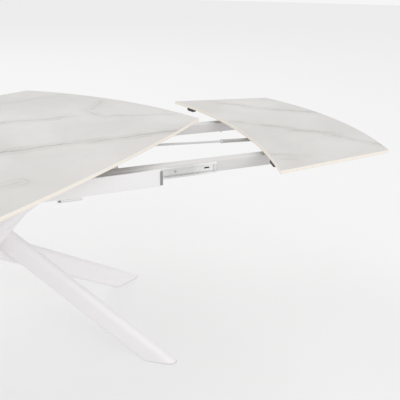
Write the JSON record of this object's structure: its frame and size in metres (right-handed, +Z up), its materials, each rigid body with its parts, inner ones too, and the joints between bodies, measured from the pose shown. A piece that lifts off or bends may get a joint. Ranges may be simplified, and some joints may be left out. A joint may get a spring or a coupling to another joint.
{
  "type": "extendable dining table",
  "caption": "Extendable dining table: a bowed stone top that swivels on a star of crossed tube legs, with a stone leaf drawn out on ball-slide rails at each end.",
  "frame": {"origin": "on the floor, on the swivel axis of the top", "axes": "+X along the rails to the right-hand leaf, +Y to the back, +Z up"},
  "size_m": [2.606, 1.4948, 0.76],
  "materials": {
    "stone_top": "satin",
    "stone_leaf": "satin",
    "white_legs": "satin",
    "white_frame": "satin",
    "white_rails": "satin",
    "zinc_steel": "satin",
    "bright_steel": "satin",
    "black_plastic": "matte",
    "rod_coat": "satin",
    "pale_plastic": "matte",
    "grey_plastic": "matte"
  },
  "bodies": {
    "base": {"leg_front_right": "white_legs", "leg_back_right": "white_legs", "leg_front_left": "white_legs", "leg_back_left": "white_legs", "foot_glides": "pale_plastic", "leg_top_plates": "white_legs", "leg_plate_bolts": "bright_steel", "base_bars": "white_frame", "cross_member_right": "white_frame", "cross_member_left": "white_frame", "cross_member_plugs": "white_frame", "frame_screws": "bright_steel", "centre_plate": "white_frame", "centre_post": "white_frame", "thrust_collar": "black_plastic", "swivel_flange": "white_frame", "fixed_rail_front_outer": "white_frame", "fixed_rail_back_outer": "white_frame", "fixed_rail_front_inner": "white_frame", "fixed_rail_back_inner": "white_frame", "rail_end_caps": "grey_plastic", "slide_tracks": "zinc_steel", "track_screws": "bright_steel", "lower_race": "bright_steel", "bearing_balls": "bright_steel"},
    "top": {"main_top": "stone_top", "top_frame": "white_frame", "upper_race": "bright_steel", "pivot_shaft": "bright_steel", "pivot_nut": "bright_steel"},
    "rocker": {"sync_rocker": "zinc_steel", "rocker_rivets": "bright_steel"},
    "right_carriage": {"right_leaf": "stone_leaf", "right_rail_outer": "white_rails", "right_rail_inner": "white_rails", "right_beams": "white_rails", "right_shims": "black_plastic", "right_rod_bracket": "white_rails", "right_rod_pin": "bright_steel", "right_slide_members": "zinc_steel", "right_slide_rivets": "bright_steel", "right_latch_blocks": "black_plastic", "right_rail_plugs": "black_plastic"},
    "right_rod": {"right_link_rod": "rod_coat", "right_rod_sleeve": "grey_plastic"},
    "right_cages": {"right_ball_cages": "bright_steel"},
    "left_carriage": {"left_leaf": "stone_leaf", "left_rail_outer": "white_rails", "left_rail_inner": "white_rails", "left_beams": "white_rails", "left_shims": "black_plastic", "left_rod_bracket": "white_rails", "left_rod_pin": "bright_steel", "left_slide_members": "zinc_steel", "left_slide_rivets": "bright_steel", "left_latch_blocks": "black_plastic", "left_rail_plugs": "black_plastic"},
    "left_rod": {"left_link_rod": "rod_coat", "left_rod_sleeve": "grey_plastic"},
    "left_cages": {"left_ball_cages": "bright_steel"}
  },
  "joints": [
    {"name": "top_swivel", "type": "hinge", "parent": "base", "child": "top", "pos_m": [0, 0, 0.738], "axis": [0, 0, 1], "range_deg": [-39.4, 140.6]},
    {"name": "right_leaf_slide", "type": "slide", "parent": "base", "child": "right_carriage", "axis": [1, 0, 0], "range_m": [-0.591, 0]},
    {"name": "left_leaf_slide", "type": "slide", "parent": "base", "child": "left_carriage", "axis": [-1, 0, 0], "range_m": [-0.5915, 0.0005]},
    {"name": "rocker_turn", "type": "hinge", "parent": "base", "child": "rocker", "pos_m": [0, 0, 0.725], "axis": [0, 0, 1], "range_deg": [-0.1, 139.86]},
    {"name": "right_rod_swing", "type": "hinge", "parent": "right_carriage", "child": "right_rod", "pos_m": [0.92, -0.096, 0.7185], "axis": [0, 0, 1], "range_deg": [-21, 0.1]},
    {"name": "left_rod_swing", "type": "hinge", "parent": "left_carriage", "child": "left_rod", "pos_m": [-0.92, 0.096, 0.7185], "axis": [0, 0, 1], "range_deg": [-21, 0.1]},
    {"name": "right_cage_roll", "type": "slide", "parent": "base", "child": "right_cages", "axis": [1, 0, 0], "range_m": [-0.296, 0.0005]},
    {"name": "left_cage_roll", "type": "slide", "parent": "base", "child": "left_cages", "axis": [-1, 0, 0], "range_m": [-0.296, 0.0005]}
  ],
  "couplings": [
    {"joint": "left_leaf_slide", "follows": "right_leaf_slide", "ratio": 1},
    {"joint": "rocker_turn", "follows": "right_leaf_slide", "rad_per_m": -4.1274},
    {"joint": "right_rod_swing", "follows": "right_leaf_slide", "rad_per_m": 0.6172},
    {"joint": "left_rod_swing", "follows": "right_leaf_slide", "rad_per_m": 0.6172},
    {"joint": "right_cage_roll", "follows": "right_leaf_slide", "ratio": 0.5},
    {"joint": "left_cage_roll", "follows": "right_leaf_slide", "ratio": 0.5}
  ]
}
